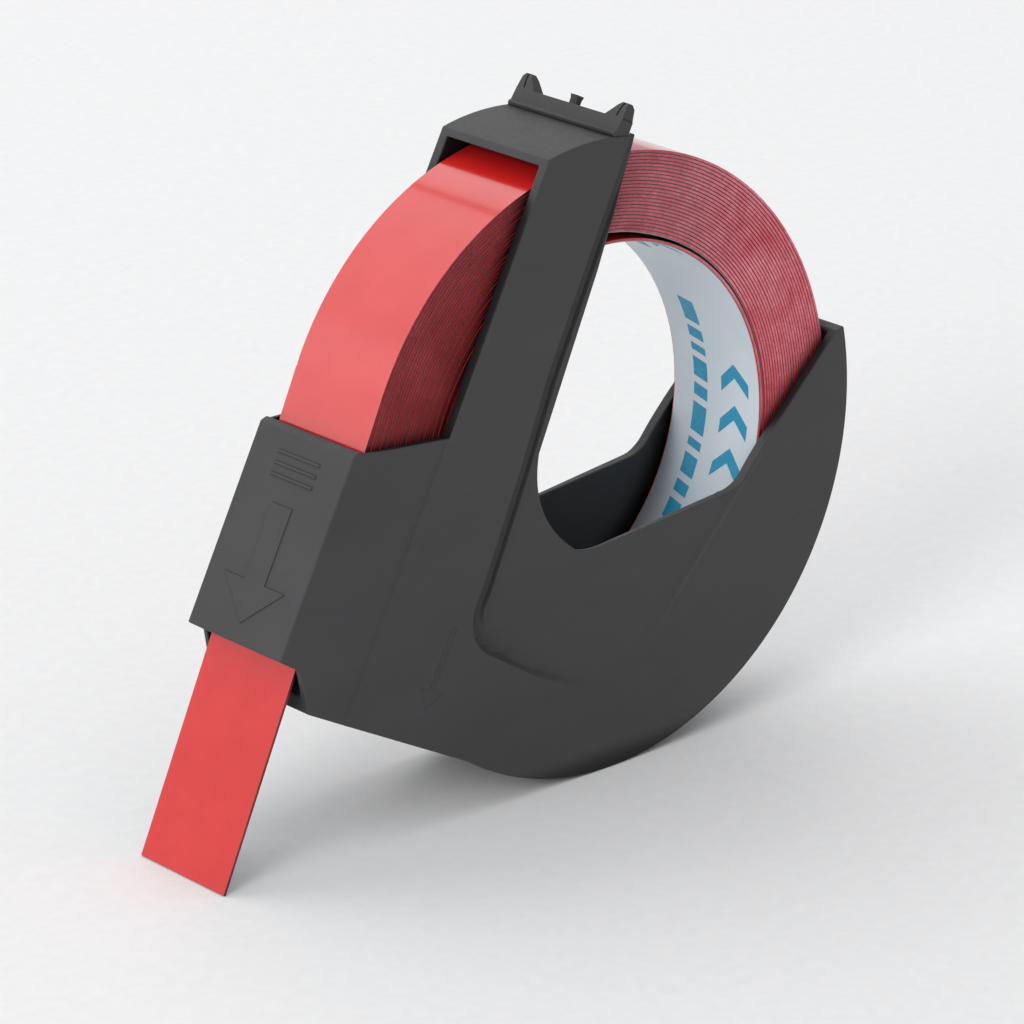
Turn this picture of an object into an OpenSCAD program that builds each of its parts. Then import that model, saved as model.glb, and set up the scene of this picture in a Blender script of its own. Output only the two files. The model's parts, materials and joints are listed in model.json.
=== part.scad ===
// Refill cassette of embossing tape: a moulded holder, a coreless coil of tape
// with a paper release liner, and the straight leader that comes out of the guide.
//
// Every outline is drawn in the cassette's upright frame, where X runs from the guide
// plate to the rim, Z runs up along the arms, Y is the depth and the coil's centre is
// the zero point. stand() then leans the cassette over onto its round belly.

/* [Tape] */
// Width of the embossing tape
tape_w = 9; // [6:0.5:9]
// Thickness of the plastic tape without its liner
tape_t = 0.2; // [0.15:0.01:0.25]
// Thickness of the paper release liner
liner_t = 0.05; // [0.04:0.01:0.08]
// Outer radius of the wound coil below its straight leader
coil_r = 21.65; // [21:0.05:21.65]
// Radius of the open bore of the coil
bore_r = 15.39; // [14:0.01:16]

/* [Holder] */
// Width of the holder over both side walls
case_w = 11.05; // [10.9:0.05:12]
// Thickness of a side wall
wall_t = 0.8; // [0.7:0.05:0.9]
// Outer radius of the rim round the belly
rim_r = 23.25; // [23.2:0.05:23.6]
// Thickness of the rim
rim_t = 0.95; // [0.8:0.05:1]
// Thickness of the bridge over the coil
bridge_t = 0.45; // [0.4:0.05:0.9]
// Depth of the sunk pocket in each side wall
pocket_depth = 0.5; // [0.2:0.05:0.6]
// Depth of the arrows sunk in the guide plate and the side panels
arrow_depth = 0.12; // [0.05:0.01:0.2]

/* [Stance] */
// Lean of the cassette as it stands on its belly and the leader's tip, in degrees
lean = 27; // [20:1:30]
// Angle between the leader and the cassette's upright axis, in degrees
leader_angle = 2.95; // [2.5:0.05:3]

/* [Hidden] */

case_half = case_w / 2;
gap_half = case_half - wall_t;          // half of the clear width between the side walls
far = 60;                               // longer than the part, for cutting blocks

holder_colour = [0.25, 0.25, 0.26];
tape_colour = [0.80, 0.07, 0.10];
liner_colour = [0.80, 0.84, 0.88];

// Arms, guide block and foot, in the upright frame
arm_left = -15.7;                       // left edge of the arms, where the guide block starts
plate_face = -22.95;                    // outer face of the guide plate
plate_t = 0.8;
plate_back = plate_face + plate_t;
plate_top = -5;
plate_bottom = -20;
plate_half = 4.9;                       // half width at the plate's face
plate_chamfer = 0.4;
shoulder_top = -2.2;                    // top of the guide block at the arm
foot_left = [-19.2, -22.9];             // left end of the flat foot
foot_right = [2, -23.05];               // the foot's line ends here, inside the rim's circle
foot_heel = [-19.75, -22.3];
wall_heel = [-19.8, -21.95];             // the side walls are cut back here, beside the tape's mouth
wall_lip = [-21.2, -20.2];
foot_inside = -22.08;                   // height of the foot's inner face
foot_angle = -98;                       // where the rim's circle passes into the foot
arm_right = -8.1;                       // right edge of the arms at the top
rim_tip_angle = 39;                     // end of the rim above the horizontal

// The bridge follows an arc through the tops of both arm edges
bridge_c = [-3.9, 4.15];
bridge_r = 18;
bridge_left_angle = 180 - acos((bridge_c[0] - arm_left) / bridge_r);
bridge_right_angle = 180 - acos((bridge_c[0] - arm_right) / bridge_r);

// Finger window: straight left side with one bend, round bottom left, then two slopes
window_bend = [-7.15, 12];
window_side = [-6.45, -1.2];
window_pull = [-5.1, -5.9];             // the round bottom is drawn towards this point
window_bottom = [0.3, -6.72];
window_low_start = [2.46, -5.86];
window_low_end = [12.6, 0.59];
window_corner = [13.52, 1.93];
window_steep = [14.1, 4.1];
window_steep_end = [17.54, 14.13];

// Sunk pocket beside the raised panel; its floor rises to nothing at the crease line
groove = [[-9.05, 22.5], [-8.86, 11], [-8.75, 3.8], [-8.2, -3], [-7.7, -11.3]];
pocket_corner_c = [-4.7, -12.4];
pocket_corner_r = 3.1;
crease_top = [13.5, 1.8];
crease_bottom = [8.3, -16];
crease_angle = atan2(crease_top[0] - crease_bottom[0], crease_top[1] - crease_bottom[1]);
pocket_slope = 1.9;                     // tilt of the pocket floor, in degrees

// Leader: the strip is drawn hanging straight down from the coil's left tangent point
leader_outer = coil_r + tape_t + liner_t + 0.05;
leader_lean = lean - leader_angle;
leader_back = leader_outer - tape_t;
leader_len = (rim_r + leader_back * sin(leader_lean)) / cos(leader_lean);

// Row frame: the origin lies under the middle of the whole part, on the surface
left_end = -leader_outer * cos(leader_lean) - leader_len * sin(leader_lean);
origin_x = -(left_end + rim_r) / 2;

function on_circle(c, r, a) = [c[0] + r * cos(a), c[1] + r * sin(a)];
function arc(c, r, a0, a1, n) = [for (i = [0:n]) on_circle(c, r, a0 + (a1 - a0) * i / n)];
// Curve that leaves p0 towards p1 and comes into p2
function curve(p0, p1, p2, n) =
    [for (i = [0:n]) let(t = i / n) pow(1 - t, 2) * p0 + 2 * t * (1 - t) * p1 + t * t * p2];

// ---- frames ----

module stand() { translate([origin_x, 0, rim_r]) rotate([0, lean, 0]) children(); }
module along_leader() { stand() rotate([0, -leader_angle, 0]) children(); }

// A flat outline in X and Z, given its depth from y0 to y1
module slab(y0, y1) {
    translate([0, y1, 0]) rotate([90, 0, 0]) linear_extrude(height = y1 - y0) children();
}

// ---- outlines of the holder ----

module bridge_circle(inset) { translate(bridge_c) circle(r = bridge_r - inset, $fn = 120); }

// Guide block, foot, belly, finger window and arm, all round in one line
module wall_outline() {
    polygon(concat([[plate_back, plate_top], [plate_back, plate_bottom - 0.1], wall_lip, wall_heel, foot_left],
                   arc([0, 0], rim_r, foot_angle, rim_tip_angle, 60),
                   [window_steep_end, window_steep, window_corner, [13.2, 1.25], window_low_end],
                   curve(window_low_start, [1.35, -6.55], window_bottom, 5),
                   curve(window_bottom, window_pull, window_side, 12),
                   [window_bend],
                   arc(bridge_c, bridge_r, bridge_right_angle, bridge_left_angle, 12),
                   [[arm_left, shoulder_top]]));
}

module pocket_outline() {
    polygon(concat(groove,
                   arc(pocket_corner_c, pocket_corner_r, 170, 262, 8),
                   [[0, -15.9], crease_bottom, [10.1, -10.5], [12.2, -4.7], crease_top,
                    [13.5, 22.5]]));
}

module rim_outline() {
    intersection() {
        difference() {
            circle(r = rim_r, $fn = 180);
            circle(r = rim_r - rim_t, $fn = 180);
        }
        polygon([[0, 0], on_circle([0, 0], far, rim_tip_angle), [far, -far],
                 on_circle([0, 0], far, foot_angle)]);
    }
    polygon([foot_right, [0, foot_inside], [-19, foot_inside], foot_heel, foot_left]);
}

module bridge_outline() {
    intersection() {
        difference() {
            bridge_circle(0);
            bridge_circle(bridge_t);
        }
        translate([arm_left, 10]) square([arm_right - arm_left, 15]);
    }
}

module clip_outline() {
    difference() {
        polygon([[-10.5, 20.6], [-10.65, 21.05], [-10.5, 21.25], [-10.35, 22.25], [-9.3, 22.25],
                 [-9.2, 20.6]]);
        bridge_circle(0);
    }
}

// ---- sub-parts of the holder ----

// Space sunk into a side wall whose outer face looks towards -Y
module pocket_space() {
    intersection() {
        slab(-case_half - 1, -case_half + pocket_depth) pocket_outline();
        translate([crease_bottom[0], -case_half, crease_bottom[1]])
            rotate([0, crease_angle, 0])
                rotate([0, 0, -pocket_slope])
                    translate([-far, -far, -far]) cube([far, far, 2 * far]);
    }
}

module arrow_outline(length, head_length, shaft_half, head_half) {
    polygon([[-shaft_half, 0], [-shaft_half, head_length - length], [-head_half, head_length - length],
             [0, -length], [head_half, head_length - length], [shaft_half, head_length - length],
             [shaft_half, 0]]);
}

// The wall looks towards -Y and narrows from the arm's edge to the guide plate
module side_wall() {
    color(holder_colour)
        difference() {
            intersection() {
                slab(-case_half, -gap_half) wall_outline();
                translate([0, 0, -far / 2]) linear_extrude(height = far)
                    polygon([[plate_back, -gap_half], [plate_back, -plate_half - 0.07],
                             [arm_left, -case_half], [far, -case_half], [far, -gap_half]]);
            }
            pocket_space();
            translate([-9, 0, -14.3]) slab(-case_half - 1, -case_half + arrow_depth)
                arrow_outline(6.2, 1.6, 0.35, 1.3);
        }
}

module front_side_wall() { stand() side_wall(); }
module back_side_wall() { stand() mirror([0, 1, 0]) side_wall(); }

module outer_rim() {
    color(holder_colour) stand() slab(-gap_half, gap_half) rim_outline();
}

module top_bridge() {
    color(holder_colour) stand() slab(-gap_half, gap_half) bridge_outline();
}

module clip_plate() {
    color(holder_colour) stand() slab(-case_half + 0.1, case_half - 0.1) clip_outline();
}

// Two prongs at the ends of the clip plate, upright outside and sloped inside
module clip_prongs() {
    color(holder_colour) stand() for (side = [-1, 1])
        intersection() {
            slab(-case_half, case_half)
                polygon([[-10.35, 22.25], [-10.45, 23.1], [-10.2, 23.35], [-9.75, 23.35],
                         [-9.5, 23.1], [-9.3, 22.25]]);
            translate([-far / 2, 0, 0]) rotate([90, 0, 90]) linear_extrude(height = far)
                polygon([[side * 3.6, 22.25], [side * 4.35, 23.1], [side * 4.6, 23.35],
                         [side * 5.2, 23.35], [side * 5.425, 22.25]]);
        }
}

// Small square peg that flares at its top
module clip_peg() {
    color(holder_colour) stand()
        slab(-0.35, 0.35)
            polygon([[-10.05, 22.25], [-10.05, 22.6], [-10.15, 22.9], [-9.45, 22.9],
                     [-9.55, 22.6], [-9.55, 22.25]]);
}

module guide_plate() {
    color(holder_colour) stand()
        difference() {
            intersection() {
                slab(-case_half, case_half)
                    polygon([[plate_face, plate_bottom], [plate_face, plate_top - plate_chamfer],
                             [plate_face + plate_chamfer, plate_top], [plate_back, plate_top],
                             [plate_back, plate_bottom]]);
                translate([0, 0, -far / 2]) linear_extrude(height = far)
                    polygon([[plate_face, -plate_half], [plate_back, -plate_half - 0.07],
                             [plate_back, plate_half + 0.07], [plate_face, plate_half]]);
            }
            translate([plate_face + arrow_depth, 0, -10.2]) rotate([90, 0, -90])
                linear_extrude(height = 1) arrow_outline(8.3, 2.75, 1.15, 3);
            for (bar = [0:2])
                translate([plate_face - 1 + arrow_depth, -2.2, -7 - 0.8 * bar]) cube([1, 4.4, 0.3]);
        }
}

// Wall behind the leader, parallel to it, from the foot up to just below the coil
module channel_floor() {
    color(holder_colour)
        difference() {
            along_leader() slab(-gap_half, gap_half)
                translate([-leader_outer + 1, -22.2]) square([0.8, 12.7]);
            stand() slab(-case_half, case_half) union() {
                rim_outline();
                translate([-far, -far]) square([far, far + foot_inside]);
            }
        }
}

// ---- tape and liner ----

module ring(outer, inner, width) {
    rotate([90, 0, 0]) difference() {
        cylinder(h = width, r = outer, center = true, $fn = 180);
        cylinder(h = width + 1, r = inner, center = true, $fn = 180);
    }
}

module tape_coil() { color(tape_colour) stand() ring(coil_r, bore_r, tape_w); }
module coil_liner() { color(liner_colour) stand() ring(bore_r, bore_r - liner_t, tape_w); }

// Free inner end of the tape: an arc that springs a little way into the bore
module tape_inner_end() {
    color(tape_colour) stand() slab(-tape_w / 2, tape_w / 2)
        difference() {
            intersection() {
                translate([0.4, -0.42]) circle(r = bore_r - liner_t - 0.1, $fn = 180);
                polygon([[0, 0], on_circle([0, 0], far, 100), on_circle([0, 0], far, 150)]);
            }
            translate([0.4, -0.42]) circle(r = bore_r - liner_t - 0.1 - tape_t, $fn = 180);
        }
}

module tape_leader() {
    color(tape_colour) along_leader()
        translate([-leader_outer, -tape_w / 2, -leader_len]) cube([tape_t, tape_w, leader_len]);
}

// The liner ends just above the tape's cut end, so only the tape touches the surface
module leader_liner() {
    color(liner_colour) along_leader()
        translate([-leader_back, -tape_w / 2, 0.1 - leader_len])
            cube([liner_t, tape_w, leader_len - 0.1]);
}

front_side_wall();
back_side_wall();
outer_rim();
top_bridge();
clip_plate();
clip_prongs();
clip_peg();
guide_plate();
channel_floor();
tape_coil();
coil_liner();
tape_inner_end();
tape_leader();
leader_liner();
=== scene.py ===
"""Refill cassette of embossing tape: holder, wound tape, liner and leader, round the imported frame."""

import json
import math
import random

import bmesh
import bpy
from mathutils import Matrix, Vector


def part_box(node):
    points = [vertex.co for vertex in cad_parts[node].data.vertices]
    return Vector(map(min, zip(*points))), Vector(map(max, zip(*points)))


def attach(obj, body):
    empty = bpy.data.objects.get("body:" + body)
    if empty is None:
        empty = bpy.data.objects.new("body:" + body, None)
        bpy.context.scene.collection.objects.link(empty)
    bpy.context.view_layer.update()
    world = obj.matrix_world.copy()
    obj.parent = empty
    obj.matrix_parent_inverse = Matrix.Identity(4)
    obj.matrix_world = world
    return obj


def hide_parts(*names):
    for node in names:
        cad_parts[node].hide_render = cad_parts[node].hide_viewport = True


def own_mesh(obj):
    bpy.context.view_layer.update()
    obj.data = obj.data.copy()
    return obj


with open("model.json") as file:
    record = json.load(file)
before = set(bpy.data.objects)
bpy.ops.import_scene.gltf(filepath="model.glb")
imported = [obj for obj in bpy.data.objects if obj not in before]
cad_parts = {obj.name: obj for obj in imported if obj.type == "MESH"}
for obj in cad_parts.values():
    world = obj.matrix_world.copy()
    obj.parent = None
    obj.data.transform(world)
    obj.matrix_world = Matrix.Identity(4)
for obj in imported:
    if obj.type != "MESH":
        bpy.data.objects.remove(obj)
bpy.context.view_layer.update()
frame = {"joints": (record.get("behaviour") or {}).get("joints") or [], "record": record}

# ---------------------------------------------------------------- sizes, from the frame

MM = 0.001
JOINTS = {j["name"]: j for j in frame["joints"]}
MOUNTS = {m["name"]: m for m in frame["record"]["mounts"]}
COIL = Vector(JOINTS["coil_spin"]["pos_m"])
CLIP_AXIS = MOUNTS["clip"]["axis"]
LEAN = math.atan2(CLIP_AXIS[0], CLIP_AXIS[2])
FEED = Vector(JOINTS["leader_feed"]["axis"]).normalized()
LEADER_TILT = LEAN - math.atan2(-FEED.x, -FEED.z)

# Half widths along the coil's axis, and the rim's radius and thickness, in millimetres
CASE_HALF = -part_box("front_side_wall")[0][1] / MM
GAP_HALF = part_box("outer_rim")[1][1] / MM
TAPE_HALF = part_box("tape_coil")[1][1] / MM
PLATE_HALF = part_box("guide_plate")[1][1] / MM
CLIP_HALF = CASE_HALF - 0.1
RIM_R = COIL.z / MM
RIM_T = 0.95

# A vertex further out than this lies on a side face
ON_SIDE = CASE_HALF - 0.05

# Upright frame of the cassette, in millimetres from the coil's centre: u away from the
# guide plate, v up along the arms, y along the coil's axis.
ARM_LEFT = -15.7
PLATE_FACE, PLATE_BACK = -22.95, -22.15
PLATE_TOP, PLATE_BOTTOM = -5.0, -20.0
SHOULDER_TOP = -2.2
FOOT_LEFT, FOOT_HEEL, WALL_LIP = (-19.2, -22.85), (-19.8, -21.95), (-21.2, -20.2)
FOOT_ANGLE, TIP_ANGLE = -98, 39
FOOT_INSIDE = -22.08
BRIDGE_C, BRIDGE_R, BRIDGE_T = (-3.9, 4.15), 18.0, 0.45
WINDOW_SIDE, WINDOW_PULL, WINDOW_BOTTOM = (-6.45, -1.2), (-5.1, -5.9), (0.3, -6.72)
CREASE_TOP, CREASE_BOTTOM = (13.5, 1.8), (8.3, -16.0)

# The shallow pocket in each side wall: the step and slant along its border, which are softer
# at the bottom, the groove beside its left border, and the low ridge along its right crease
POCKET_DEPTH, POCKET_SLOPE = 0.5, 0.05
STEP_RUN, STEP_SHARE, SLANT_RUN = 0.3, 0.9, 1.8
SOFT_RUN, SOFT_FADE = 0.12, 4.0
GROOVE_DEPTH, GROOVE_WIDTH, GROOVE_EDGE = 0.16, 1.4, 0.25
GROOVE_END, GROOVE_FADE = -11.5, 3.0
RIDGE_RISE, RIDGE_HALF, RIDGE_END, RIDGE_FADE = 0.08, 0.45, -14.0, 6.0
PANEL_LOW, PANEL_HIGH, PANEL_GRID = (-9.6, -17.4), (14.1, 23.0), 0.8
CORNER_LOW, CORNER_HIGH, CORNER_GRID = (-9.4, -17.2), (-3.0, -9.6), 0.2

# The crease where the side walls begin to narrow, the two kinds of arrow, and the edges
CREASE_LEFT, CREASE_RIGHT, CREASE_RISE = 0.22, 1.0, 0.10
NARROWING_POWER, NARROWING_CUTS = 1.7, (-1.2, -2.4, -3.6, -4.6, -5.4, -6.2)
ARROW_TOP, ARROW_RISE, ARROW_DRAFT = -10.2, 0.05, 0.06
BAR_TOP, BAR_STEP, BAR_HALF, BAR_HEIGHT = -7.0, 0.8, 2.2, 0.3
SIDE_ARROW_TOP, SIDE_ARROW_DEPTH, SIDE_ARROW_DRAFT = (-9.0, -14.3), 0.045, 0.14
MARK_ROOT = 0.02
EDGE_RADIUS, CLIP_EDGE_RADIUS = 0.12, 0.035

CHANNEL_IN, CHANNEL_OUT = 1.0, 1.8
LEADER_OUTER = 21.95
TAPE_T, LINER_T = 0.2, 0.05
BORE_R = 15.39
WOUND_IN, WOUND_OUT = LINER_T + 0.012, LINER_T + TAPE_T - 0.004
WOUND_LINER_HALF, LEADER_LINER_HALF = TAPE_HALF - 0.12, TAPE_HALF - 0.05
PRINT_REPEAT, PRINT_LIFT, PRINT_T = 24.0, 0.004, 0.008


def upright(u, y, v):
    """A point of the upright frame, in the row frame and in metres."""
    x = u * math.cos(LEAN) + v * math.sin(LEAN)
    z = -u * math.sin(LEAN) + v * math.cos(LEAN)
    return COIL + Vector((x, y, z)) * MM


def leader_line(across, along):
    """(u, v) of a point at this distance left of the coil's centre and this far up the leader."""
    c, s = math.cos(LEADER_TILT), math.sin(LEADER_TILT)
    return (-across * c - along * s, -across * s + along * c)


def on_circle(c, r, degrees):
    a = math.radians(degrees)
    return (c[0] + r * math.cos(a), c[1] + r * math.sin(a))


def arc(c, r, a0, a1, step=2.0):
    n = max(2, round(abs(a1 - a0) / step))
    return [on_circle(c, r, a0 + (a1 - a0) * i / n) for i in range(n + 1)]


def curve(p0, p1, p2, n):
    """Points of the quadratic curve that leaves p0 towards p1 and comes into p2."""
    out = []
    for i in range(n + 1):
        t = i / n
        weights = ((1 - t) ** 2, 2 * t * (1 - t), t * t)
        out.append(tuple(sum(w * x for w, x in zip(weights, xs)) for xs in zip(p0, p1, p2)))
    return out


def smooth(t):
    t = min(1.0, max(0.0, t))
    return t * t * (3 - 2 * t)


# ---------------------------------------------------------------- mesh helpers

def new_object(name, bm):
    mesh = bpy.data.meshes.new(name)
    bmesh.ops.recalc_face_normals(bm, faces=bm.faces)
    bm.to_mesh(mesh)
    bm.free()
    obj = bpy.data.objects.new(name, mesh)
    bpy.context.scene.collection.objects.link(obj)
    return obj


def prism(name, outline, y0, y1):
    """A closed solid: an outline in u and v, given depth from y0 to y1."""
    bm = bmesh.new()
    rings = [[bm.verts.new((u, y, v)) for u, v in outline] for y in (y0, y1)]
    bm.faces.new(rings[0])
    bm.faces.new(list(reversed(rings[1])))
    for i in range(len(outline)):
        j = (i + 1) % len(outline)
        bm.faces.new((rings[0][i], rings[0][j], rings[1][j], rings[1][i]))
    return new_object(name, bm)


def hull(name, points):
    bm = bmesh.new()
    for p in points:
        bm.verts.new(p)
    result = bmesh.ops.convex_hull(bm, input=bm.verts)
    inside = [g for g in result["geom_interior"] if isinstance(g, bmesh.types.BMVert)]
    bmesh.ops.delete(bm, geom=inside, context="VERTS")
    bmesh.ops.dissolve_limit(bm, angle_limit=0.01, verts=bm.verts, edges=bm.edges)
    return new_object(name, bm)


def apply_modifiers(obj):
    depsgraph = bpy.context.evaluated_depsgraph_get()
    mesh = bpy.data.meshes.new_from_object(obj.evaluated_get(depsgraph))
    obj.modifiers.clear()
    obj.data = mesh


def combine(obj, tool, operation):
    """Boolean of obj with tool, which is used up."""
    mod = obj.modifiers.new("combine", "BOOLEAN")
    mod.operation = operation
    mod.solver = "EXACT"
    mod.object = tool
    bpy.context.view_layer.update()
    apply_modifiers(obj)
    bpy.data.objects.remove(tool)


def cleaned(bm):
    bmesh.ops.remove_doubles(bm, verts=bm.verts, dist=0.004)
    bmesh.ops.dissolve_degenerate(bm, edges=bm.edges, dist=0.002)
    bmesh.ops.dissolve_limit(bm, angle_limit=math.radians(0.4), verts=bm.verts, edges=bm.edges)


def to_row_frame(obj):
    for vert in obj.data.vertices:
        u, y, v = vert.co
        vert.co = upright(u, y, v)
    obj.data.update()


def finish_piece(obj, body, slot_name, materials, *nodes):
    """Gives a piece its materials and body, and hides the nodes that it stands for."""
    for material in materials:
        obj.data.materials.append(material)
    obj.data.shade_smooth()
    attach(obj, body)
    if nodes:
        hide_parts(*nodes)


def crisp_edges(obj):
    """Keeps the edges of a thin strip sharp where it is shaded smooth."""
    obj.data.set_sharp_from_angle(angle=math.radians(40))


def skinned(name, rings):
    """A strip through rings of four points: material 0 on its two faces, 1 on its cut edges."""
    bm = bmesh.new()
    rings = [[bm.verts.new(point) for point in ring] for ring in rings]
    for a, b in zip(rings, rings[1:]):
        for k in range(4):
            face = bm.faces.new((a[k], a[(k + 1) % 4], b[(k + 1) % 4], b[k]))
            face.material_index = 1 if k in (0, 2) else 0
    for ring in (rings[0], rings[-1]):
        bm.faces.new(ring).material_index = 1
    obj = new_object(name, bm)
    to_row_frame(obj)
    return obj


# ---------------------------------------------------------------- camera, floor and light

VIEW_AZIMUTH, VIEW_ELEVATION = math.radians(-41.67), math.radians(20.45)
VIEW_DISTANCE = 366.9 * MM
VIEW_TARGET = COIL + Vector((-4.39, 0, -4.29)) * MM
VIEW_LENS, VIEW_SENSOR = 183.8, 36

# Soft round lights aimed at the coil: name, place from the coil in metres, width and watts
LIGHTS = (
    ("key", (-0.56, 1.29, 0.94), 1.8, 9.5),
    ("low", (-1.3, 1.3, 0.45), 1.0, 0.7),
    ("back", (0.75, 1.1, 1.05), 1.0, 3),
    ("side", (-1.85, -0.6, 0.9), 0.9, 17),
    ("top", (0.6, 0.0, 1.7), 1.8, 6),
)
SKY_COLOUR, SKY_STRENGTH = (0.97, 0.98, 1.0, 1), 0.53
FLOOR_RADIUS = 3.0


def add_camera():
    back = Vector((math.sin(VIEW_AZIMUTH) * math.cos(VIEW_ELEVATION),
                   -math.cos(VIEW_AZIMUTH) * math.cos(VIEW_ELEVATION),
                   math.sin(VIEW_ELEVATION)))
    data = bpy.data.cameras.new("camera")
    data.sensor_width = VIEW_SENSOR
    data.lens = VIEW_LENS
    data.clip_start = 0.01
    data.clip_end = 20
    camera = bpy.data.objects.new("camera", data)
    camera.location = VIEW_TARGET + back * VIEW_DISTANCE
    camera.rotation_euler = back.to_track_quat("Z", "Y").to_euler()
    bpy.context.scene.collection.objects.link(camera)
    bpy.context.scene.camera = camera


def area_light(name, offset, size, watts):
    data = bpy.data.lights.new(name, "AREA")
    data.shape = "DISK"
    data.size = size
    data.energy = watts
    light = bpy.data.objects.new(name, data)
    light.location = COIL + Vector(offset)
    light.rotation_euler = Vector(offset).to_track_quat("Z", "Y").to_euler()
    bpy.context.scene.collection.objects.link(light)


def add_studio():
    world = bpy.data.worlds.new("studio")
    world.use_nodes = True
    background = world.node_tree.nodes["Background"]
    background.inputs["Color"].default_value = SKY_COLOUR
    background.inputs["Strength"].default_value = SKY_STRENGTH
    bpy.context.scene.world = world
    for light in LIGHTS:
        area_light(*light)

    bm = bmesh.new()
    bmesh.ops.create_circle(bm, cap_ends=True, segments=96, radius=FLOOR_RADIUS)
    floor = new_object("studio_floor", bm)
    floor.data.materials.append(floor_material())


def set_colours():
    scene = bpy.context.scene
    scene.view_settings.view_transform = "Standard"
    scene.view_settings.look = "None"


# ---------------------------------------------------------------- materials

class Nodes:
    """A short way to build a node material."""

    def __init__(self, name):
        self.material = bpy.data.materials.new(name)
        self.material.use_nodes = True
        self.tree = self.material.node_tree
        self.shader = self.tree.nodes["Principled BSDF"]

    def add(self, kind, inputs=None, **settings):
        node = self.tree.nodes.new(kind)
        for key, value in settings.items():
            setattr(node, key, value)
        for key, value in (inputs or {}).items():
            if isinstance(value, bpy.types.NodeSocket):
                self.tree.links.new(value, node.inputs[key])
            else:
                node.inputs[key].default_value = value
        return node

    def set(self, **values):
        for key, value in values.items():
            socket = self.shader.inputs[key.replace("_", " ")]
            if isinstance(value, bpy.types.NodeSocket):
                self.tree.links.new(value, socket)
            else:
                socket.default_value = value

    def coords(self, stretch=(1, 1, 1)):
        where = self.add("ShaderNodeTexCoord").outputs["Object"]
        return self.add("ShaderNodeMapping", {"Vector": where, "Scale": stretch}).outputs[0]

    def noise(self, vector, scale, detail=3.0, roughness=0.6):
        return self.add("ShaderNodeTexNoise", {"Vector": vector, "Scale": scale, "Detail": detail,
                                               "Roughness": roughness}).outputs["Fac"]

    def ramp(self, fac, stops):
        node = self.add("ShaderNodeValToRGB", {"Fac": fac})
        elements = node.color_ramp.elements
        while len(elements) < len(stops):
            elements.new(0.5)
        for element, (position, colour) in zip(elements, stops):
            element.position = position
            element.color = (*colour, 1)
        return node.outputs["Color"]

    def scale(self, fac, low, high, start=0.0, stop=1.0):
        inputs = {"Value": fac, "From Min": start, "From Max": stop, "To Min": low, "To Max": high}
        return self.add("ShaderNodeMapRange", inputs).outputs[0]

    def bump(self, height, distance, strength):
        inputs = {"Height": height, "Distance": distance, "Strength": strength}
        return self.add("ShaderNodeBump", inputs).outputs[0]

    def painted_hollow_shade(self, colour, reach, start, stop, darkest_shade):
        """The colour, darkened by painted shade where the surface around it closes in within this reach.
        """
        node = self.add("ShaderNodeAmbientOcclusion", {"Distance": reach}, samples=8)
        shade = self.scale(node.outputs["AO"], darkest_shade, 1.0, start, stop)
        dull = self.add("ShaderNodeVectorMath", {0: colour}, operation="SCALE")
        self.tree.links.new(shade, dull.inputs["Scale"])
        return dull.outputs[0]


def floor_material():
    n = Nodes("studio_floor")
    grain = n.noise(n.coords(), 900, 2)
    n.set(Base_Color=n.ramp(grain, [(0.3, (0.86, 0.86, 0.86)), (0.7, (0.89, 0.89, 0.89))]),
          Roughness=0.8)
    n.shader.inputs["Specular IOR Level"].default_value = 0.2
    return n.material


def holder_material(name="holder_plastic", darkest_shade=0.12):
    """Dark grey moulded plastic with a fine spark-eroded texture and faint flow marks, darkened in its
    hollows by painted shade.
    """
    n = Nodes(name)
    where = n.coords()
    flow = n.noise(n.coords((0.5, 1, 1.6)), 120, 3)
    grain = n.noise(where, 9000, 3, 0.7)
    specks = n.noise(where, 2600, 2)
    plain = n.ramp(flow, [(0.25, (0.046, 0.046, 0.0475)), (0.75, (0.055, 0.055, 0.0570))])
    # Painted shade: the colour darkens in grooves, corners and crevices
    n.set(Base_Color=n.painted_hollow_shade(plain, 0.002, 0.70, 0.985, darkest_shade),
          Roughness=n.scale(specks, 0.42, 0.60),
          Normal=n.bump(grain, 0.00003, 0.55))
    n.shader.inputs["Specular IOR Level"].default_value = 0.28
    return n.material


def tape_material():
    """Smooth glossy red plastic film with faint streaks along its length."""
    n = Nodes("tape_face")
    where = n.coords()
    streaks = n.noise(n.coords((0.15, 6, 0.15)), 500, 3)
    haze = n.noise(where, 260, 3)
    n.set(Base_Color=n.ramp(haze, [(0.3, (0.62, 0.013, 0.012)), (0.7, (0.68, 0.020, 0.018))]),
          Roughness=n.scale(streaks, 0.15, 0.21),
          Normal=n.bump(haze, 0.00002, 0.25))
    n.shader.inputs["Coat Weight"].default_value = 0.5
    n.shader.inputs["Coat Roughness"].default_value = 0.07
    return n.material


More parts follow.
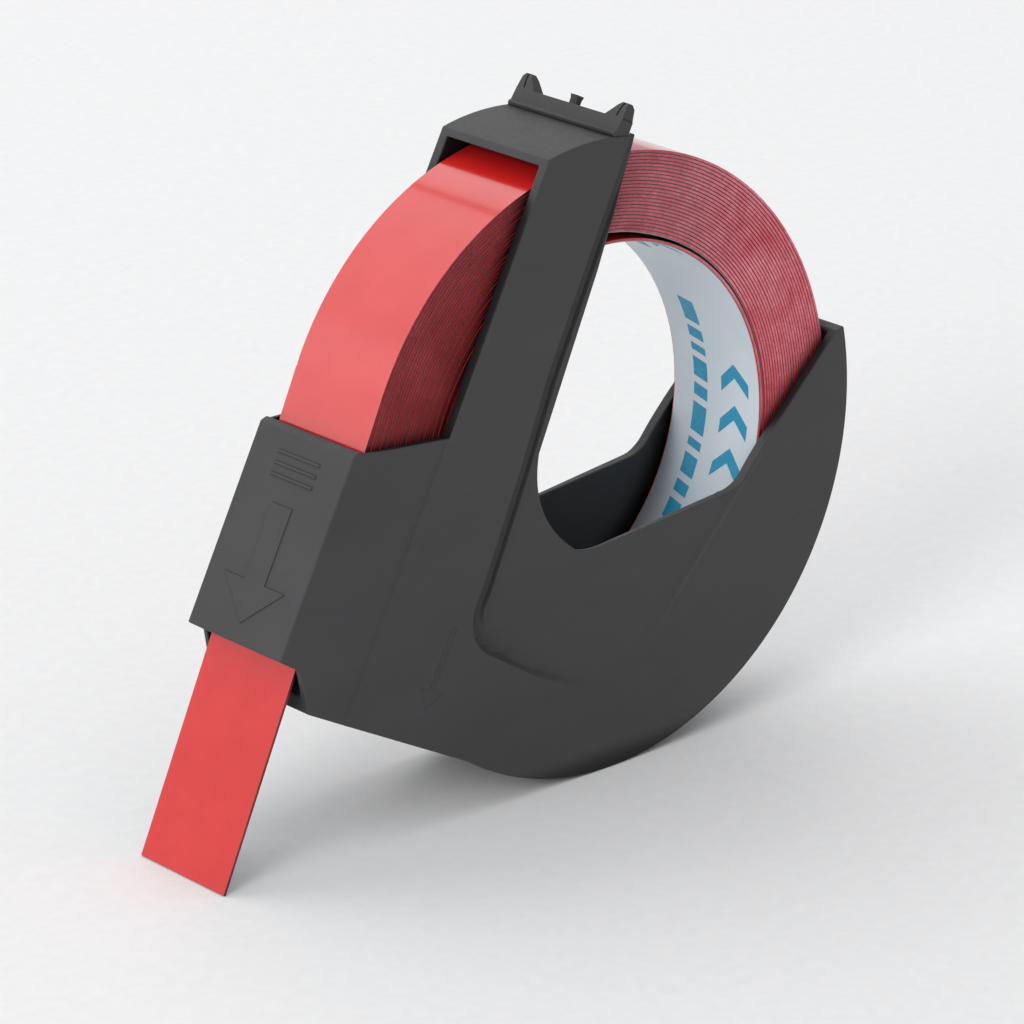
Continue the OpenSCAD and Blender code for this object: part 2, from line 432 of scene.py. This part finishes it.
def tape_edge_material():
    """The slit edge of the film: matt and grainy, painted deeper red on the left as shade and paler pink
    on the right as light, and darkened in hollows by painted shade.
    """
    n = Nodes("tape_cut_edge")
    where = n.coords()
    grain = n.noise(where, 5200, 4, 0.75)
    blotch = n.noise(where, 330, 3)
    tint = n.add("ShaderNodeMath", {0: grain, 1: blotch}, operation="MULTIPLY_ADD")
    tint.inputs[2].default_value = 0.12
    shaded_edge_red = n.ramp(tint.outputs[0], [(0.25, (0.12, 0.006, 0.010)), (0.62, (0.30, 0.045, 0.055))])
    lit_edge_pink = n.ramp(tint.outputs[0], [(0.25, (0.55, 0.065, 0.095)), (0.62, (0.95, 0.36, 0.43))])
    # Painted light and shade: deeper red towards the left of the coil, paler pink towards the right
    across = n.add("ShaderNodeSeparateXYZ", {0: where}).outputs["X"]
    side = n.scale(across, 0.0, 1.0, COIL.x - 8 * MM, COIL.x + 14 * MM)
    mixed = n.add("ShaderNodeMix", data_type="RGBA")
    for index, source in ((0, side), (6, shaded_edge_red), (7, lit_edge_pink)):
        n.tree.links.new(source, mixed.inputs[index])
    # Painted shade where the edge sits in a hollow, as beside the arm
    n.set(Base_Color=n.painted_hollow_shade(mixed.outputs[2], 0.003, 0.5, 0.95, 0.12),
          Roughness=0.62,
          Normal=n.bump(grain, 0.00006, 0.7))
    return n.material


def liner_material():
    """Pale blue-grey release paper, smooth and slightly waxy, darkened in hollows by painted shade."""
    n = Nodes("liner_paper")
    where = n.coords()
    fibre = n.noise(n.coords((1, 2.5, 1)), 2400, 4)
    cloud = n.noise(where, 140, 3)
    paper = n.ramp(cloud, [(0.3, (0.60, 0.67, 0.73)), (0.7, (0.67, 0.73, 0.78))])
    # Painted shade: the paper darkens where the walls close in round it
    n.set(Base_Color=n.painted_hollow_shade(paper, 0.007, 0.35, 0.9, 0.25),
          Roughness=n.scale(fibre, 0.38, 0.52),
          Normal=n.bump(fibre, 0.00002, 0.35))
    return n.material


def ink_material():
    """Blue print, slightly uneven."""
    n = Nodes("liner_ink")
    speckle = n.noise(n.coords(), 5000, 3)
    n.set(Base_Color=n.ramp(speckle, [(0.35, (0.005, 0.24, 0.42)), (0.7, (0.010, 0.33, 0.53))]),
          Roughness=n.scale(speckle, 0.35, 0.5))
    return n.material


# ---------------------------------------------------------------- holder

def outer_outline():
    """Guide plate, foot, belly, finger window, arm and shoulder, all round in one line."""
    chamfer = 0.4
    return ([(PLATE_FACE, PLATE_BOTTOM), WALL_LIP, FOOT_HEEL, FOOT_LEFT]
            + arc((0, 0), RIM_R, FOOT_ANGLE, TIP_ANGLE, 1.5)
            + [(17.54, 14.13)]
            + curve((14.5, 5.3), (14.05, 3.95), (13.8, 2.95), 3)
            + curve((13.66, 2.35), (13.45, 1.15), (12.4, 0.47), 5)
            + curve((2.46, -5.86), (1.35, -6.55), WINDOW_BOTTOM, 5)
            + curve(WINDOW_BOTTOM, WINDOW_PULL, WINDOW_SIDE, 16)[1:]
            + [(-7.15, 12.0)]
            + arc(BRIDGE_C, BRIDGE_R, 103.5, 130.95, 1.5)
            + [(ARM_LEFT, SHOULDER_TOP), (PLATE_BACK, PLATE_TOP), (PLATE_FACE + chamfer, PLATE_TOP),
               (PLATE_FACE, PLATE_TOP - chamfer)])


def cavity_outline():
    """The space between the side walls: round the coil, down the tape channel and out of every opening."""
    inner = RIM_R - RIM_T
    left, right = LEADER_OUTER - CHANNEL_IN, LEADER_OUTER - CHANNEL_OUT
    top = -9.5
    return (arc((0, 0), inner, 46, -97.5, 1.5)
            + [(leader_line(right, -21.1)[0], FOOT_INSIDE)]
            + [leader_line(right, top - 0.3), leader_line(right + 0.3, top),
               leader_line(left - 0.3, top), leader_line(left, top - 0.3), leader_line(left, -24.5)]
            + [(PLATE_BACK, -24.5), (PLATE_BACK, PLATE_TOP + 1), (-30, PLATE_TOP + 1), (-30, 15.3)]
            + arc(BRIDGE_C, BRIDGE_R - BRIDGE_T, 140, 98, 1.5)
            + [(-6, 32), (42, 32)])


def clip_outline():
    """Clip plate in section: a bead along its lower left edge hangs clear of the bridge."""
    return [(-9.25, 20.7), (-9.25, 22.25), (-10.36, 22.25), (-10.5, 21.3), (-10.64, 21.2),
            (-10.68, 21.08), (-10.62, 20.9), (-10.5, 20.8), (-10.45, 20.6)]


def prong_points(side):
    low = [(u, side * y, 22.15) for u in (-10.375, -9.27) for y in (3.55, CLIP_HALF)]
    mid = [(u, side * y, 23.1) for u in (-10.235, -9.45) for y in (4.4, 5.36)]
    high = [(u, side * y, 23.38) for u in (-10.08, -9.66) for y in (4.62, 5.24)]
    return low + mid + high


def slit_points(side):
    """A narrow slit down the front of each prong."""
    section = ((-10.7, 4.72, 22.33), (-10.2, 4.72, 22.33), (-9.9, 4.96, 23.6), (-10.7, 4.96, 23.6))
    return [(u, side * (y + half), v) for u, y, v in section for half in (-0.055, 0.055)]


def wall_half_width(u):
    """Half width of the holder: it rounds in gently from the arm's left edge to the guide plate."""
    share = min(1.0, max(0.0, (ARM_LEFT - u) / (ARM_LEFT - PLATE_FACE)))
    return CASE_HALF - (CASE_HALF - PLATE_HALF) * share ** NARROWING_POWER


def pocket_line():
    """The pocket's sharp border: down the groove, round the corner and along the bottom."""
    return ([(-9.1, 23.5), (-8.95, 11.0), (-8.78, 3.8), (-8.2, -3.0), (-7.75, -11.0)]
            + arc((-4.7, -12.4), 3.1, 172, 262, 6)
            + [(0.0, -15.95), (9.6, -16.1)])


def border_distance(u, v, line):
    """Distance to the border, positive inside the pocket."""
    best, side = 1e9, 1
    for (au, av), (bu, bv) in zip(line, line[1:]):
        du, dv = bu - au, bv - av
        t = min(1.0, max(0.0, ((u - au) * du + (v - av) * dv) / (du * du + dv * dv)))
        d = math.hypot(u - au - t * du, v - av - t * dv)
        if d < best - 1e-9:
            best, side = d, 1 if du * (v - av) - dv * (u - au) > 0 else -1
    return best * side


def bottom_share(v):
    """0 beside the arm and 1 along the pocket's bottom, where the border is softer."""
    return smooth((GROOVE_END - v) / SOFT_FADE)


def pocket_depth(u, v, line):
    """A short steep step at the border, then a gentle slant down to the pocket's floor."""
    inside = border_distance(u, v, line)
    if inside <= -0.5:
        return 0.0
    inside = max(0.0, inside)
    du, dv = CREASE_TOP[0] - CREASE_BOTTOM[0], CREASE_TOP[1] - CREASE_BOTTOM[1]
    from_crease = ((v - CREASE_BOTTOM[1]) * du - (u - CREASE_BOTTOM[0]) * dv) / math.hypot(du, dv)
    steep = STEP_SHARE + (1 - STEP_SHARE) * bottom_share(v)
    run = STEP_RUN + SOFT_RUN * bottom_share(v)
    drop = steep * min(1.0, inside / run) + (1 - steep) * min(1.0, inside / SLANT_RUN)
    depth = min(POCKET_DEPTH, max(0.0, POCKET_SLOPE * from_crease)) * drop
    groove = min(1.0, inside / STEP_RUN) * min(1.0, max(0.0, (GROOVE_WIDTH - inside) / GROOVE_EDGE))
    groove *= 1 - smooth((GROOVE_END - v) / GROOVE_FADE)
    ridge = max(0.0, 1 - abs(from_crease) / RIDGE_HALF) * smooth((v - RIDGE_END) / RIDGE_FADE)
    return depth - RIDGE_RISE * ridge + GROOVE_DEPTH * groove


def cut_sides(bm, point, normal, low, high):
    """Cuts the outer side faces that reach between the corners low and high by a plane along y."""
    normal = Vector((normal[0], 0, normal[1])).normalized()
    point = Vector((point[0], 0, point[1]))
    faces = []
    for face in bm.faces:
        spans = [[vert.co[k] for vert in face.verts] for k in (0, 1, 2)]
        if min(abs(y) for y in spans[1]) < ON_SIDE:
            continue
        if all(max(spans[k]) > low[k // 2] and min(spans[k]) < high[k // 2] for k in (0, 2)):
            faces.append(face)
    parts = {e for f in faces for e in f.edges} | {v for f in faces for v in f.verts} | set(faces)
    bmesh.ops.bisect_plane(bm, geom=list(parts), plane_co=point, plane_no=normal, dist=1e-5)


def cut_along(bm, line, shift):
    """Cuts the side faces along the pocket's border, moved this far into the pocket."""
    for (au, av), (bu, bv) in zip(line, line[1:]):
        length = math.hypot(bu - au, bv - av)
        away = (-(bv - av) / length, (bu - au) / length)
        point = (au + away[0] * shift, av + away[1] * shift)
        end = (bu + away[0] * shift, bv + away[1] * shift)
        low = (min(point[0], end[0]) - 0.02, min(point[1], end[1]) - 0.02)
        high = (max(point[0], end[0]) + 0.02, max(point[1], end[1]) + 0.02)
        cut_sides(bm, point, away, low, high)


def steps(start, stop, step):
    n = round((stop - start) / step)
    return [start + step * i for i in range(n + 1)]


def arrow_outline(top, length, head_length, shaft_half, head_half):
    """An arrow that points down from the point top."""
    neck = head_length - length
    outline = [(-shaft_half, 0), (-shaft_half, neck), (-head_half, neck), (0, -length), (head_half, neck),
               (shaft_half, neck), (shaft_half, 0)]
    return [(x + top[0], z + top[1]) for x, z in outline]


def round_edges(bm, edges, radius):
    bmesh.ops.bevel(bm, geom=edges, offset=radius, offset_type="OFFSET", segments=3, profile=0.5,
                    affect="EDGES", clamp_overlap=False, miter_outer="ARC")


def steep_edges(bm, degrees):
    limit = math.radians(degrees)
    return [e for e in bm.edges if len(e.link_faces) == 2 and e.calc_face_angle(0) > limit]


def shrunk(outline, inset):
    """The outline with every side moved in by the same distance."""
    area = sum(a[0] * b[1] - a[1] * b[0] for a, b in zip(outline, outline[1:] + outline[:1]))
    turn = 1 if area > 0 else -1
    out = []
    for i, (x, y) in enumerate(outline):
        before, after = outline[i - 1], outline[(i + 1) % len(outline)]
        d0 = Vector((x - before[0], y - before[1])).normalized()
        d1 = Vector((after[0] - x, after[1] - y)).normalized()
        n0 = Vector((-d0.y, d0.x)) * turn
        n1 = Vector((-d1.y, d1.x)) * turn
        move = (n0 + n1) / (1 + n0.dot(n1)) * inset
        out.append((x + move.x, y + move.y))
    return out


def stamp(body, name, outline, far_side, near_side, draft, place, operation):
    """Raises or sinks an outline with sloping sides. The outline lies in its own plane, from
    near_side to far_side off the surface, and place() puts its points where they belong."""
    tool = prism(name, outline, far_side, near_side)
    for vert, (x, z) in zip(tool.data.vertices, shrunk(outline, draft)):
        vert.co = (x, far_side, z)
    bm = bmesh.new()
    bm.from_mesh(tool.data)
    for vert in bm.verts:
        vert.co = place(*vert.co)
    bmesh.ops.recalc_face_normals(bm, faces=bm.faces)
    bm.to_mesh(tool.data)
    bm.free()
    combine(body, tool, operation)


def flat_normals(obj, degrees):
    """Keeps the broad faces flat and lets the rounded edges carry the shading."""
    obj.data.set_sharp_from_angle(angle=math.radians(degrees))
    weighted = obj.modifiers.new("normals", "WEIGHTED_NORMAL")
    weighted.weight = 100
    weighted.keep_sharp = True


def narrow_sides(body):
    """Bends the side walls in towards the guide plate, raises their crease and rounds every edge."""
    bm = bmesh.new()
    bm.from_mesh(body.data)
    cleaned(bm)
    for offset in (CREASE_RIGHT, 0, -CREASE_LEFT, *NARROWING_CUTS):
        bmesh.ops.bisect_plane(bm, geom=bm.verts[:] + bm.edges[:] + bm.faces[:], dist=1e-4,
                               plane_co=(ARM_LEFT + offset, 0, 0), plane_no=(1, 0, 0))
    for vert in bm.verts:
        if abs(vert.co.y) > ON_SIDE and vert.co.x < ARM_LEFT + 1e-4:
            ridge = abs(vert.co.x - ARM_LEFT) < 1e-3 and vert.co.z < SHOULDER_TOP + 0.1
            half = wall_half_width(vert.co.x) + (CREASE_RISE if ridge else 0)
            vert.co.y = math.copysign(half, vert.co.y)
    bm.normal_update()
    round_edges(bm, steep_edges(bm, 30), EDGE_RADIUS)
    bm.to_mesh(body.data)
    bm.free()


def add_marks(body):
    """Three bars and an arrow raised on the guide plate, and an arrow sunk in each side."""

    def on_plate(x, y, z):
        return (PLATE_FACE + y, x, z)

    def on_front(x, y, z):
        return (x, -CASE_HALF - y, z)

    def on_back(x, y, z):
        return (x, CASE_HALF + y, z)

    arrow = arrow_outline((0, ARROW_TOP), 8.5, 3.0, 1.1, 3.27)
    stamp(body, "arrow", arrow, -ARROW_RISE, MARK_ROOT, ARROW_DRAFT, on_plate, "UNION")
    for bar in range(3):
        low = BAR_TOP - BAR_STEP * bar
        outline = [(-BAR_HALF, low), (BAR_HALF, low), (BAR_HALF, low + BAR_HEIGHT),
                   (-BAR_HALF, low + BAR_HEIGHT)]
        stamp(body, "bar", outline, -ARROW_RISE, MARK_ROOT, ARROW_DRAFT, on_plate, "UNION")
    side_arrow = arrow_outline(SIDE_ARROW_TOP, 6.2, 1.6, 0.35, 1.3)
    for place in (on_front, on_back):
        stamp(body, "side_arrow", side_arrow, -SIDE_ARROW_DEPTH, MARK_ROOT / 2, SIDE_ARROW_DRAFT, place,
              "DIFFERENCE")


def cut_grid(bm, low, high, us, vs):
    """Cuts the side faces between two corners at each of these u and each of these v."""
    for u in us:
        cut_sides(bm, (u, 0), (1, 0), low, high)
    for v in vs:
        cut_sides(bm, (0, v), (0, 1), low, high)


def sink_pocket(body):
    """Cuts the side faces into a grid and along the pocket's border, and sinks the pocket."""
    bm = bmesh.new()
    bm.from_mesh(body.data)
    line = pocket_line()
    cut_grid(bm, PANEL_LOW, PANEL_HIGH, steps(-9.4, 13.8, PANEL_GRID), steps(-17.2, 21.2, PANEL_GRID))
    cut_grid(bm, CORNER_LOW, CORNER_HIGH, steps(-8.4, -3.2, CORNER_GRID), steps(-16.6, -10.4, CORNER_GRID))
    for shift in (0, STEP_RUN, GROOVE_WIDTH - GROOVE_EDGE, GROOVE_WIDTH, SLANT_RUN):
        cut_along(bm, line, shift)
    across = Vector((CREASE_TOP[1] - CREASE_BOTTOM[1], CREASE_BOTTOM[0] - CREASE_TOP[0])).normalized()
    for shift in (-RIDGE_HALF, 0, RIDGE_HALF):
        cut_sides(bm, Vector(CREASE_TOP) + across * shift, across, PANEL_LOW, PANEL_HIGH)
    panel = [f for f in bm.faces if min(abs(vert.co.y) for vert in f.verts) > ON_SIDE]
    bmesh.ops.triangulate(bm, faces=[f for f in panel if len(f.verts) > 4], ngon_method="BEAUTY")
    for vert in bm.verts:
        u, y, v = vert.co
        if abs(y) > CASE_HALF - 1.2 * EDGE_RADIUS and u > -9.5:
            vert.co.y = math.copysign(abs(y) - pocket_depth(u, v, line), y)
    bm.to_mesh(body.data)
    bm.free()


def build_holder():
    body = prism("holder_moulding", outer_outline(), -CASE_HALF, CASE_HALF)
    combine(body, prism("cavity", cavity_outline(), -GAP_HALF, GAP_HALF), "DIFFERENCE")
    narrow_sides(body)
    add_marks(body)
    sink_pocket(body)
    to_row_frame(body)
    finish_piece(body, "holder", "holder_plastic", [holder_material()], "front_side_wall",
                 "back_side_wall", "outer_rim", "top_bridge", "guide_plate", "channel_floor")
    flat_normals(body, 9)


def build_clip():
    """Clip plate, its two prongs and the peg, as one block on the bridge."""
    clip = prism("clip_block", clip_outline(), -CLIP_HALF, CLIP_HALF)
    for side in (-1, 1):
        prong = hull("prong", prong_points(side))
        combine(prong, hull("slit", slit_points(side)), "DIFFERENCE")
        combine(clip, prong, "UNION")
    peg = [(-9.55, 22.1), (-9.55, 22.62), (-9.44, 22.92), (-10.16, 22.92), (-10.05, 22.62), (-10.05, 22.1)]
    combine(clip, prism("peg", peg, -0.35, 0.35), "UNION")
    bm = bmesh.new()
    bm.from_mesh(clip.data)
    cleaned(bm)
    round_edges(bm, steep_edges(bm, 28), CLIP_EDGE_RADIUS)
    bm.to_mesh(clip.data)
    bm.free()
    to_row_frame(clip)
    # The clip's copy of the plastic has less painted shade in its hollows, so it is painted lighter than
    # the holder
    finish_piece(clip, "holder", "holder_plastic", [holder_material("clip_plastic", 0.55)],
                 "clip_plate", "clip_prongs", "clip_peg")
    flat_normals(clip, 38)


# ---------------------------------------------------------------- wound tape

INNER_END = 150.0
OUTER_END = 180.0 + math.degrees(LEADER_TILT)
TURNS = 25 + (OUTER_END - INNER_END) / 360
PITCH = (LEADER_OUTER - BORE_R) / (TURNS + 1)
STEPS_PER_TURN = 120
# The outer turn goes on behind the leader, as far as the coil turns back
TURNS_BACK = math.radians(-JOINTS["coil_spin"]["range_deg"][0]) / (2 * math.pi)

# Each turn lies a little out of line with the next one, and presses on it a little more or less
turn_draw = random.Random(7)
TURN_SHIFT = [turn_draw.uniform(-0.018, 0.018) for _ in range(40)]
TURN_PINCH = [turn_draw.uniform(-0.007, 0.007) for _ in range(40)]

# The inner end springs in from the bore, and the winding bulges on one side
SPRUNG, BULGE = 0.45, 0.42


def turn_value(table, turn):
    """The table's value at this turn, passing smoothly from one turn to the next."""
    i = int(turn)
    return table[i] + (table[i + 1] - table[i]) * smooth(turn - i)


def loose(turn):
    """How free a turn is to lie out of line: the last half turn comes into line with the leader."""
    return min(1.0, max(0.0, (TURNS - turn) * 2))


def layer_radius(turn, degrees):
    """Inner radius of the layer at this many turns from the inner end."""
    around = degrees % 360
    rest = BORE_R + PITCH * turn
    if turn < 1:
        sprung = -SPRUNG * (1 - smooth(turn / 0.25))
        tight = BORE_R - rest
        return rest + sprung + tight * (1 - smooth((turn - 0.93) / 0.07))
    bulge = BULGE * smooth((around - 92) / 32) * (1 - smooth((around - 128) / 42))
    fade = max(0.0, 1 - (turn - 1) / (TURNS - 1))
    pinch = turn_value(TURN_PINCH, turn) * loose(turn)
    return rest + bulge * fade + pinch


def strip(name, inner, outer, half):
    """A strip wound in a spiral between two heights within each layer."""
    last = TURNS + TURNS_BACK
    total = round(last * STEPS_PER_TURN)
    rings = []
    for i in range(total + 1):
        turn = last * i / total
        degrees = INNER_END + 360 * turn
        shift = turn_value(TURN_SHIFT, turn) * loose(turn)
        base = layer_radius(turn, degrees)
        side = half - (0.03 if turn > TURNS else 0)
        ring = []
        for r, y in ((inner, -side), (outer, -side), (outer, side), (inner, side)):
            u, v = on_circle((0, 0), base + r, degrees)
            ring.append((u, y + shift, v))
        rings.append(ring)
    return skinned(name, rings)


def build_coil():
    tape = strip("wound_tape", WOUND_IN, WOUND_OUT, TAPE_HALF)
    finish_piece(tape, "coil", "tape_plastic", [tape_material(), tape_edge_material()],
                 "tape_coil", "tape_inner_end")
    crisp_edges(tape)
    liner = strip("wound_liner", 0.0, LINER_T, WOUND_LINER_HALF)
    finish_piece(liner, "coil", "liner_paper", [liner_material()] * 2, "coil_liner")
    crisp_edges(liner)


def print_shapes():
    """The printed motif over one repeat, as outlines in millimetres along and across the liner."""
    shapes = []
    x = 0.0
    for width in (1.5, 0.9, 1.5, 0.6, 2.1, 0.9, 1.5, 0.6, 0.9, 2.1):
        shapes.append([(x, 0.95), (x + width, 0.95), (x + width + 0.35, 2.35), (x + 0.35, 2.35)])
        x += width + 0.55
    for i in range(4):
        x0 = 1.0 + 3.2 * i
        shapes.append([(x0, -3.3), (x0 + 1.1, -3.3), (x0 + 2.4, -1.9), (x0 + 1.1, -0.5), (x0, -0.5),
                       (x0 + 1.3, -1.9)])
    return shapes


def denser(outline, step):
    """The closed outline with more points along its sides."""
    out = []
    for (ax, ay), (bx, by) in zip(outline, outline[1:] + outline[:1]):
        n = max(1, math.ceil(math.hypot(bx - ax, by - ay) / step))
        out += [(ax + (bx - ax) * i / n, ay + (by - ay) * i / n) for i in range(n)]
    return out


def build_print():
    """Blue print on the inner turn: thin flat shapes that follow the bore."""
    bm = bmesh.new()
    for copy in range(4):
        start = INNER_END + 20 + copy * math.degrees(PRINT_REPEAT / BORE_R)
        for outline in print_shapes():
            lows, highs = [], []
            for x, y in denser(outline, 0.25):
                degrees = start + math.degrees(x / BORE_R)
                turn = (degrees - INNER_END) / 360
                base = layer_radius(turn, degrees)
                for radius, out in ((base - PRINT_LIFT - PRINT_T, highs), (base - PRINT_LIFT, lows)):
                    u, v = on_circle((0, 0), radius, degrees)
                    out.append(bm.verts.new((u, y + turn_value(TURN_SHIFT, turn), v)))
            top = bm.faces.new(highs)
            bottom = bm.faces.new(list(reversed(lows)))
            for i in range(len(highs)):
                j = (i + 1) % len(highs)
                bm.faces.new((highs[j], highs[i], lows[i], lows[j]))
            bmesh.ops.triangulate(bm, faces=[top, bottom])
    ink = new_object("liner_print", bm)
    to_row_frame(ink)
    finish_piece(ink, "coil", "liner_paper", [ink_material()])
    crisp_edges(ink)


# ---------------------------------------------------------------- leader

def leader_strip(name, near, far, half, length):
    """A straight strip from the coil's tangent point down to the tip."""
    rows = 70
    rings = []
    for i in range(rows + 1):
        ring = []
        for across, y in ((far, -half), (near, -half), (near, half), (far, half)):
            u, v = leader_line(across, -length * i / rows)
            ring.append((u, y, v))
        rings.append(ring)
    return skinned(name, rings)


def build_leader():
    """The leader and its liner: straight strips from the coil's tangent point down to the tip."""
    back = LEADER_OUTER - TAPE_T
    lean = math.atan2(-FEED.x, -FEED.z)
    length = (RIM_R + back * math.sin(lean)) / math.cos(lean)
    tape = leader_strip("leader_tape", back, LEADER_OUTER, TAPE_HALF, length)
    finish_piece(tape, "leader", "tape_plastic", [tape_material(), tape_edge_material()], "tape_leader")
    crisp_edges(tape)
    liner = leader_strip("leader_liner_strip", back - LINER_T / 2, back, LEADER_LINER_HALF, length - 0.1)
    finish_piece(liner, "leader", "liner_paper", [liner_material()] * 2, "leader_liner")
    crisp_edges(liner)
    for piece in (tape, liner):
        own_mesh(piece)


add_camera()
add_studio()
set_colours()
build_holder()
build_clip()
build_coil()
build_print()
build_leader()
